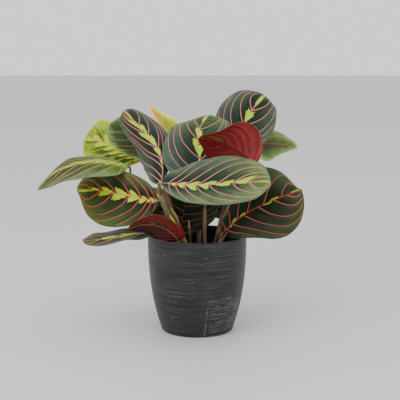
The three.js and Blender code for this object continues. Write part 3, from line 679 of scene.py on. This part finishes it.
def makeUnderMaterial(name, look, pattern):
    material, tree = newMaterial(name)
    across, tint = readAttributes(tree, "acrossLeaf", "tint")
    out = addNode(tree, "ShaderNodeGroup", {"Vein Width": 0.95}, node_tree=pattern).outputs
    stain = product(ramp(noise(objectPlace(tree), 48, 2, 0.55), 0.54, 0.68), ramp(across, 0.75, 0.2), 0.8)
    colour = coats(look["deep"], (ramp(across, 0.3, 1), look["rim"]),
                   (tint, look["tint"]), (stain, look["stain"]))
    # the blade is quilted, and painted shading gives each field between two veins a dark and a light side
    colour = shaded(colour, ramp(out["Streak"], 0.3, 0.7, 0.5, 1.5),
                    ramp(out["Mottle"], 0.3, 0.7, 0.85, 1.15),
                    ramp(out["Cell"], 0, 0.9, 0.72, 1.25))
    colour = coats(colour, (product(out["Vein"], 0.9), look["vein"]), (out["Rib"], look["rib"]))
    height = calc("MULTIPLY_ADD", out["Vein"], 0.7, product(out["Streak"], 0.5))
    finishShader(tree, colour, ramp(across, 0, 1, 0.42, 0.55), height, 0.5, 0.0005, 0.14)
    return material


def makeBlades():
    pattern = makePatternGroup()
    tops = {key: makeTopMaterial("leafTop_" + key, {**usualLook, **look}, pattern)
            for key, look in leafLooks.items()}
    unders = {key: makeUnderMaterial("leafUnder_" + key, look, pattern) for key, look in underLooks.items()}
    for index, (node, values) in enumerate(leaves.items()):
        name, leaf = "blade_" + node[5:], {**usualLeaf, **values}
        under = unders[leaf.get("under", "rose" if leaf["look"] in ("new", "fresh") else "burgundy")]
        piece = newObject(name, bladeMesh(name, leaf, index), (tops[leaf["look"]], under))
        finishPiece(piece, node)
    print("blades made:", len(leaves))


# pot

pot = {
    "height": 118, "rim": 60, "taper": 17, "power": 2.5, "wall": 3, "floor": 4,
    "footRounding": 4, "lip": 1.2, "sides": 160, "rings": 60,
}
potFinish = {
    "ground": (0.005, 0.005, 0.006), "band": (0.017, 0.017, 0.019),
    "brushed": (0.15, 0.155, 0.165), "scuffed": (0.42, 0.42, 0.42),
    # sideways and upright scale, detail, roughness: fine and broad brushing, where it is strong, scuffs
    "grains": [(18, 2400, 3, 0.62), (6, 420, 2, 0.55), (26, 30, 2), (60, 1500, 2, 0.7)],
    # metres: the field of scuffs below and right of these, and the slanting scratch
    "scuffTop": 0.06, "scuffLeft": 0.011, "scratchFoot": 0.0084, "scratchSlant": 0.104, "scratchTop": 0.042,
}


def potRadius(z):
    return pot["rim"] - pot["taper"] * max(1 - z / pot["height"], 0) ** pot["power"]


def innerRadius(z, gap=0):
    return potRadius(z) - pot["wall"] - gap


def arc(radius, z, size, start, stop, steps):
    turns = np.radians(np.linspace(start, stop, steps + 1))
    return [(radius + size * math.cos(a), z + size * math.sin(a)) for a in turns]


def latheMesh(name, profile, sides):
    # profile is (radius, height) from the axis round to the axis again
    points, faces, rings = [], [], []
    turns = [2 * math.pi * k / sides for k in range(sides)]
    for radius, z in profile:
        ring = [(radius * math.cos(a) * mm, radius * math.sin(a) * mm, z * mm)
                for a in (turns if radius else [0])]
        rings.append([len(points) + k % len(ring) for k in range(sides)])
        points += ring
    for low, high in zip(rings[:-1], rings[1:]):
        for k in range(sides):
            after = (k + 1) % sides
            corners = [low[k], low[after], high[after], high[k]]
            faces.append(list(dict.fromkeys(corners)))  # a triangle at the axis
    mesh = bpy.data.meshes.new(name)
    mesh.from_pydata(points, [], faces)
    mesh.polygons.foreach_set("use_smooth", np.ones(len(faces), bool))
    return mesh


def makePotMaterial():
    material, tree = newMaterial("brushedPot")
    place = objectPlace(tree)
    x, y, z = addNode(tree, "ShaderNodeSeparateXYZ", {0: place}).outputs
    fine, broad, cloud, speck = [noise(stretched(place, side, rise), 1, *settings)
                                 for side, rise, *settings in potFinish["grains"]]
    streak = product(ramp(fine, 0.5, 0.74), ramp(cloud, 0.3, 0.65, 0.35, 1))
    front = ramp(y, -0.008, -0.02)
    # pale scuffs, thickest low on the front right
    top, left = potFinish["scuffTop"], potFinish["scuffLeft"]
    field = product(ramp(z, top, top - 0.012), ramp(x, left, left + 0.004), front)
    scuff = ramp(speck, calc("MULTIPLY_ADD", field, -0.13, 0.69), 0.78)
    # one upright scratch, a little aslant
    fromScratch = calc("MULTIPLY_ADD", z, -potFinish["scratchSlant"],
                       calc("SUBTRACT", x, potFinish["scratchFoot"]))
    top = potFinish["scratchTop"]
    scratch = product(ramp(calc("ABSOLUTE", fromScratch), 0.0008, 0.0003),
                      ramp(z, top, top - 0.002), front,
                      ramp(noise(place, 420, 2), 0.42, 0.62), 0.5)
    colour = coats(potFinish["ground"],
                   (ramp(broad, 0.3, 0.72), potFinish["band"]),
                   (product(streak, 0.75), potFinish["brushed"]),
                   (product(calc("MAXIMUM", scuff, scratch), 0.75), potFinish["scuffed"]))
    rough = calc("MULTIPLY_ADD", streak, 0.18, ramp(broad, 0.3, 0.7, 0.38, 0.5))
    finishShader(tree, colour, rough, calc("MULTIPLY_ADD", broad, 0.6, fine), 0.35, 0.0004, 0.35)
    return material


def makePot():
    foot, lip, rim, floor = pot["footRounding"], pot["lip"], pot["rim"], pot["floor"]
    shoulder = pot["height"] - lip
    profile = [(0, 0), (20, 0)] + arc(potRadius(foot) - foot, foot, foot, -90, 0, 10)
    profile += [(potRadius(z), z) for z in np.linspace(foot, shoulder, pot["rings"])[1:-1]]
    profile += arc(rim - lip, shoulder, lip, 0, 90, 6)
    profile += arc(rim - pot["wall"] + lip, shoulder, lip, 90, 180, 6)
    profile += [(innerRadius(z), z) for z in np.linspace(shoulder - 2, floor + 6, 24)]
    profile += [(innerRadius(floor, 2), floor), (0, floor)]
    piece = newObject("pot_wall", latheMesh("pot_wall", profile, pot["sides"]), [makePotMaterial()])
    finishPiece(piece, "pot")
    print("pot made")


# soil

soil = {
    "level": 96, "gap": 0.4, "bump": 1.0, "sides": 96,
    "crumbs": 90000.0, "crumbSize": 1.1,  # how many on a square metre
    "dry": (0.075, 0.043, 0.024), "wet": (0.012, 0.007, 0.004), "dull": (0.03, 0.018, 0.011),
}


def makeSoilMaterial():
    material, tree = newMaterial("dampSoil")
    place = objectPlace(tree)
    grain, patch = noise(place, 420, 4, 0.65), noise(place, 60, 2)
    colour = coats(soil["wet"], (ramp(grain, 0.35, 0.7), soil["dry"]), (product(patch, 0.5), soil["dull"]))
    finishShader(tree, colour, ramp(patch, 0.3, 0.7, 0.75, 0.98), grain, 0.9, 0.001)
    return material


def makeCrumbTree():
    # loose crumbs of soil scattered over the top faces
    tree, given = startGroup("soilCrumbs", "GeometryNodeTree", {
        "Geometry": ["Geometry"], "Density": ("Float", 1.0), "Size": ("Float", 0.001), "Seed": ("Int", 5),
        "Finish": ["Material"]})

    def above(kind, limit):
        rise = addNode(tree, "ShaderNodeSeparateXYZ", {0: addNode(tree, kind).outputs[0]}).outputs[2]
        return calc("GREATER_THAN", rise, limit)

    def randomVector(seed, low, high):
        return addNode(tree, "FunctionNodeRandomValue", {"Seed": seed, 0: low, 1: high},
                       data_type="FLOAT_VECTOR").outputs[0]

    top = product(above("GeometryNodeInputNormal", 0.5),
                  above("GeometryNodeInputPosition", (soil["level"] - 6) * mm))
    scatter = addNode(tree, "GeometryNodeDistributePointsOnFaces", {
        "Mesh": given["Geometry"], "Density": given["Density"], "Seed": given["Seed"], "Selection": top})
    crumb = addNode(tree, "GeometryNodeMeshIcoSphere", {"Radius": given["Size"], "Subdivisions": 1})
    placed = addNode(tree, "GeometryNodeInstanceOnPoints", {
        "Points": scatter.outputs["Points"], "Instance": crumb.outputs["Mesh"],
        "Rotation": randomVector(given["Seed"], (0, 0, 0), (6.28, 6.28, 6.28)),
        "Scale": randomVector(11, (0.35, 0.3, 0.3), (1.5, 1.2, 1.0))})
    joined = addNode(tree, "GeometryNodeJoinGeometry", {0: placed.outputs[0]})
    tree.links.new(given["Geometry"], joined.inputs[0])
    return endGeometry(tree, joined.outputs[0], given["Finish"])


def makeSoil():
    level, gap = soil["level"], soil["gap"]
    bottom = pot["floor"] + 0.3
    edge = innerRadius(level, gap)
    profile = [(0, bottom), (innerRadius(pot["floor"], 2.3), bottom)]
    profile += [(innerRadius(z, gap), z) for z in (14, 38, 62, 86)]
    profile += [(edge, level - 3), (edge - 1, level - 1.6), (edge - 3, level - 0.9)]
    profile += [(edge * share, level) for share in np.linspace(0.92, 0.04, 26)] + [(0, level)]
    mesh = latheMesh("soilBody", profile, soil["sides"])
    for vertex in mesh.vertices:
        x, y, z = [c / mm for c in vertex.co]
        if z > level - 0.5:
            bump = math.sin(x / 7 + 1) * math.cos(y / 8) + 0.5 * math.sin(x / 4 - y / 5)
            bump += 0.35 * math.sin(x / 1.7 + 3) * math.sin(y / 1.9)
            vertex.co.z = (level + soil["bump"] * bump) * mm
    piece = bakeNodes("soil_bed", mesh, makeCrumbTree(), {
        "Density": soil["crumbs"], "Size": soil["crumbSize"] * mm, "Seed": 5, "Finish": makeSoilMaterial()})
    finishPiece(piece, "soil")
    print("soil made:", len(piece.data.polygons), "faces")


# stems and stalks

jointGap = 0.35
rootDepth = 20
stalkRadii = (1.9, 1.6, 1.5, 1.4, 1.4, 1.4, 2.0)
# radii are at the foot and at the end of the shoot, and each stalk leads to its leaf
shoots = {
    "shoot_1": {
        "root": (-12, -20), "radii": (4.2, 3.3),
        "path": [(-20, -25, 122), (-29, -30, 141), (-38, -37, 159), (-43, -43, 175)],
        "stalks": {
            "leaf_01": [(-42, -42, 171), (-44, -51, 180)],
            "leaf_02": [(-37, -36, 156), (-41, -39, 162)],
            "leaf_06": [(-42, -42, 172), (-43, -47, 180)]}},
    "shoot_2": {
        "root": (-26, 4), "radii": (3.8, 2.6),
        "path": [(-30, 6, 124), (-37, 8, 142), (-41, 8, 158), (-45, 8, 172)],
        "stalks": {
            "leaf_03": [(-29, 6, 121), (-52, 6, 136), (-68, 6, 156), (-80, 5, 180)],
            "leaf_04": [(-44, 8, 168), (-51, 14, 188), (-60, 24, 199)],
            "leaf_05": [(-44, 8, 168), (-51, 12, 188)],
            "leaf_12": [(-26, 4, 99), (-23, 8, 106)]}},
    "shoot_3": {
        "root": (10, -6), "radii": (2.6, 2.1), "path": [(9, -11, 125), (9, -18, 152)],
        "stalks": {
            "leaf_07": [(9, -17, 149), (9, -25, 168)]}},
    "shoot_4": {
        "root": (22, -8), "radii": (3.5, 2.8), "path": [(26, -8, 122), (30, -8, 140), (36, -6, 154)],
        "stalks": {
            "leaf_08": [(31, -7, 143), (35, 10, 172), (38, 34, 200)],
            "leaf_09": [(35, -6, 151), (54, -1, 180), (64, -2, 194), (70, -15, 205), (72, -33, 205)],
            "leaf_10": [(35, -6, 152), (47, 16, 180), (56, 42, 206)]}},
    "shoot_5": {
        "root": (26, -23), "radii": (2.7, 2.2), "path": [(26, -23, 106), (27, -24, 113)],
        "stalks": {
            "leaf_11": [(26, -23, 109), (28, -25, 118)]}},
    "shoot_6": {
        "root": (-28, -30), "radii": (3.2, 2.4), "path": [(-28, -31, 104), (-28, -32, 109)],
        "stalks": {
            "leaf_14": [(-28, -31, 106), (-22, -40, 113)],
            "leaf_15": [(-28, -31, 106), (-38, -20, 117)]}},
    "shoot_7": {
        "root": (2, 32), "radii": (3.4, 2.4), "path": [(2, 36, 122), (1, 41, 145)],
        "stalks": {
            "leaf_13": [(2, 36, 124), (6, 39, 134)],
            "leaf_16": [(1, 40, 142), (-1, 43, 172), (-5, 40, 200)],
            "leaf_19": [(1, 39, 136), (-6, 48, 145)],
            "leaf_22": [(1, 40, 142), (5, 42, 172)]}},
    "shoot_8": {
        "root": (28, 31), "radii": (3.2, 2.3), "path": [(29, 34, 109), (33, 45, 121)],
        "stalks": {
            "leaf_17": [(29, 33, 106), (34, 36, 115)],
            "leaf_21": [(32, 44, 120), (37, 54, 135)]}},
    "shoot_9": {
        "root": (-20, 30), "radii": (3.4, 2.4), "path": [(-22, 34, 116), (-25, 39, 132)],
        "stalks": {
            "leaf_18": [(-21, 32, 110), (-28, 36, 121)],
            "leaf_20": [(-24, 38, 130), (-28, 43, 142)],
            "leaf_23": [(-21, 32, 106), (-14, 42, 116)]}},
}
spear = {"root": (-8, -9), "path": [(-8, -9, 104), (-9, -10, 118), (-10, -12, 137)],
         "radii": (2.4, 2.6, 2.6, 2.3, 1.9, 1.5, 1.9, 0.4)}
# loose sheaths and bracts on the stems: shoot, look, radii, path
sheaths = {
    "husk_1": ("shoot_1", "husk", (2.6, 3.0, 3.0, 2.9, 2.4, 1.0), [
        (-20, -24, 118), (-26.5, -30, 141), (-31.5, -36, 156), (-34.5, -39.5, 166), (-37.5, -42, 175),
        (-39.5, -43, 181)]),
    "bract_1": ("shoot_1", "bract", (1.2, 1.9, 1.4, 0.3), [
        (-20, -32, 131), (-24.6, -35.5, 145), (-28.2, -38, 152), (-31.1, -40.5, 157.5)]),
    "slip_1": ("shoot_1", "slip", (0.6, 1.15, 0.4), [
        (-24.5, -35.8, 137), (-28.9, -37.6, 143), (-32.5, -39, 148.5)]),
    "husk_4": ("shoot_4", "husk", (2.3, 2.6, 2.3, 2.0, 1.2), [
        (20.5, -11, 106), (25, -15.5, 122), (30, -20, 138), (35, -23, 151), (39, -25, 160)]),
    "strip_4": ("shoot_4", "bract", (0.7, 1.2, 1.0, 0.3), [
        (23, -15, 116), (26.2, -18.5, 124), (29, -21, 132), (31, -23, 139)]),
    "husk_5": ("shoot_5", "husk", (2.3, 2.2, 1.5, 0.4), [
        (26, -24.4, 100), (27.5, -26, 110), (31.5, -28.5, 119), (36, -31, 126)]),
}
# colours at the foot, along the middle and at the upper end, then the roughness
stemLooks = {
    "brown": ((0.085, 0.045, 0.024), (0.19, 0.125, 0.07), (0.27, 0.09, 0.05), 0.5),
    "green": ((0.09, 0.08, 0.035), (0.13, 0.185, 0.06), (0.28, 0.23, 0.11), 0.5),
    "husk": ((0.09, 0.04, 0.024), (0.14, 0.07, 0.048), (0.2, 0.1, 0.065), 0.6),
    "bract": ((0.13, 0.06, 0.02), (0.34, 0.19, 0.07), (0.42, 0.28, 0.1), 0.55),
    "slip": ((0.3, 0.36, 0.03), (0.62, 0.74, 0.06), (0.56, 0.6, 0.09), 0.45),
    "rolled": ((0.05, 0.034, 0.018), (0.085, 0.062, 0.03), (0.43, 0.44, 0.11), 0.45),
}


def fromRoot(part):
    # the path of a shoot, with its foot in the soil
    return [(*part["root"], soil["level"] + rise) for rise in (-rootDepth, -8, 4)] + part["path"]


def makeSweepTree():
    # round stems along curves, their thickness from the radius of the points
    tree, given = startGroup("stemSweep", "GeometryNodeTree", {
        "Geometry": ["Geometry"], "Sides": ("Int", 16), "Finish": ["Material"]})
    factor = addNode(tree, "GeometryNodeSplineParameter").outputs["Factor"]
    stored = addNode(tree, "GeometryNodeStoreNamedAttribute", {
        "Geometry": given["Geometry"], "Name": "alongStem", "Value": factor},
                     data_type="FLOAT", domain="POINT")
    ring = addNode(tree, "GeometryNodeCurvePrimitiveCircle", {"Resolution": given["Sides"], "Radius": 1.0})
    swept = addNode(tree, "GeometryNodeCurveToMesh", {
        "Curve": stored.outputs[0], "Profile Curve": ring.outputs["Curve"], "Fill Caps": True,
        "Scale": addNode(tree, "GeometryNodeInputRadius").outputs[0]})
    smooth = addNode(tree, "GeometryNodeSetShadeSmooth", {"Geometry": swept.outputs[0]})
    return endGeometry(tree, smooth.outputs[0], given["Finish"])


def makeStemMaterial(name, low, middle, high, rough):
    material, tree = newMaterial(name)
    along = readAttributes(tree, "alongStem")[0]
    place = objectPlace(tree)
    fibre = noise(stretched(place, 900, 60), 1, 3, 0.6)
    patch = ramp(noise(place, 70, 2), 0.45, 0.7)
    colour = coats(low, (ramp(along, 0.05, 0.5), middle),
                   (ramp(along, 0.78, 0.98), high), (product(patch, 0.5), low))
    colour = shaded(colour, ramp(fibre, 0.3, 0.7, 0.65, 1.3))
    finishShader(tree, colour, ramp(fibre, 0, 1, rough - 0.1, rough + 0.1), fibre, 0.5, 0.0004)
    return material


def makeStem(name, node, tree, skin, *lines):
    # each line is its points, its radii and how many points it is drawn with
    curve = bpy.data.curves.new(name, "CURVE")
    curve.dimensions = "3D"
    for points, radii, count in lines:
        shares = np.linspace(0, 1, count)
        places = throughPoints(points, shares) * mm
        sizes = np.interp(shares, np.linspace(0, 1, len(radii)), radii) * mm
        spline = curve.splines.new("POLY")
        spline.points.add(count - 1)
        for item, place, size in zip(spline.points, places, sizes):
            item.co = (*place, 1)
            item.radius = size
    piece = bakeNodes(name, curve, tree, {"Sides": 16, "Finish": skin})
    finishPiece(piece, node)


def makeShoots():
    tree = makeSweepTree()
    skins = {key: makeStemMaterial("stem_" + key, *look) for key, look in stemLooks.items()}
    for node, shoot in shoots.items():
        thick, thin = shoot["radii"]
        lines = [(fromRoot(shoot), (thick, thick, (thick + thin) / 2, thin), 50)]
        for leafNode, bends in shoot["stalks"].items():
            base, tangent = [value[0] for value in ribPoint(leaves[leafNode]["rib"], 0)]
            lines.append((bends + [base - 3 * tangent, base - jointGap * tangent], stalkRadii, 60))
        makeStem("stems_" + node[6:], node, tree, skins["green" if node == "shoot_1" else "brown"], *lines)
    for name, (node, look, radii, path) in sheaths.items():
        makeStem(name, node, tree, skins[look], (path, radii, 40))
    makeStem("spear_leaf", "new_leaf", tree, skins["rolled"], (fromRoot(spear), spear["radii"], 60))
    print("stems made:", len(shoots))


setCamera()
setStudio()
makePot()
makeSoil()
makeShoots()
makeBlades()
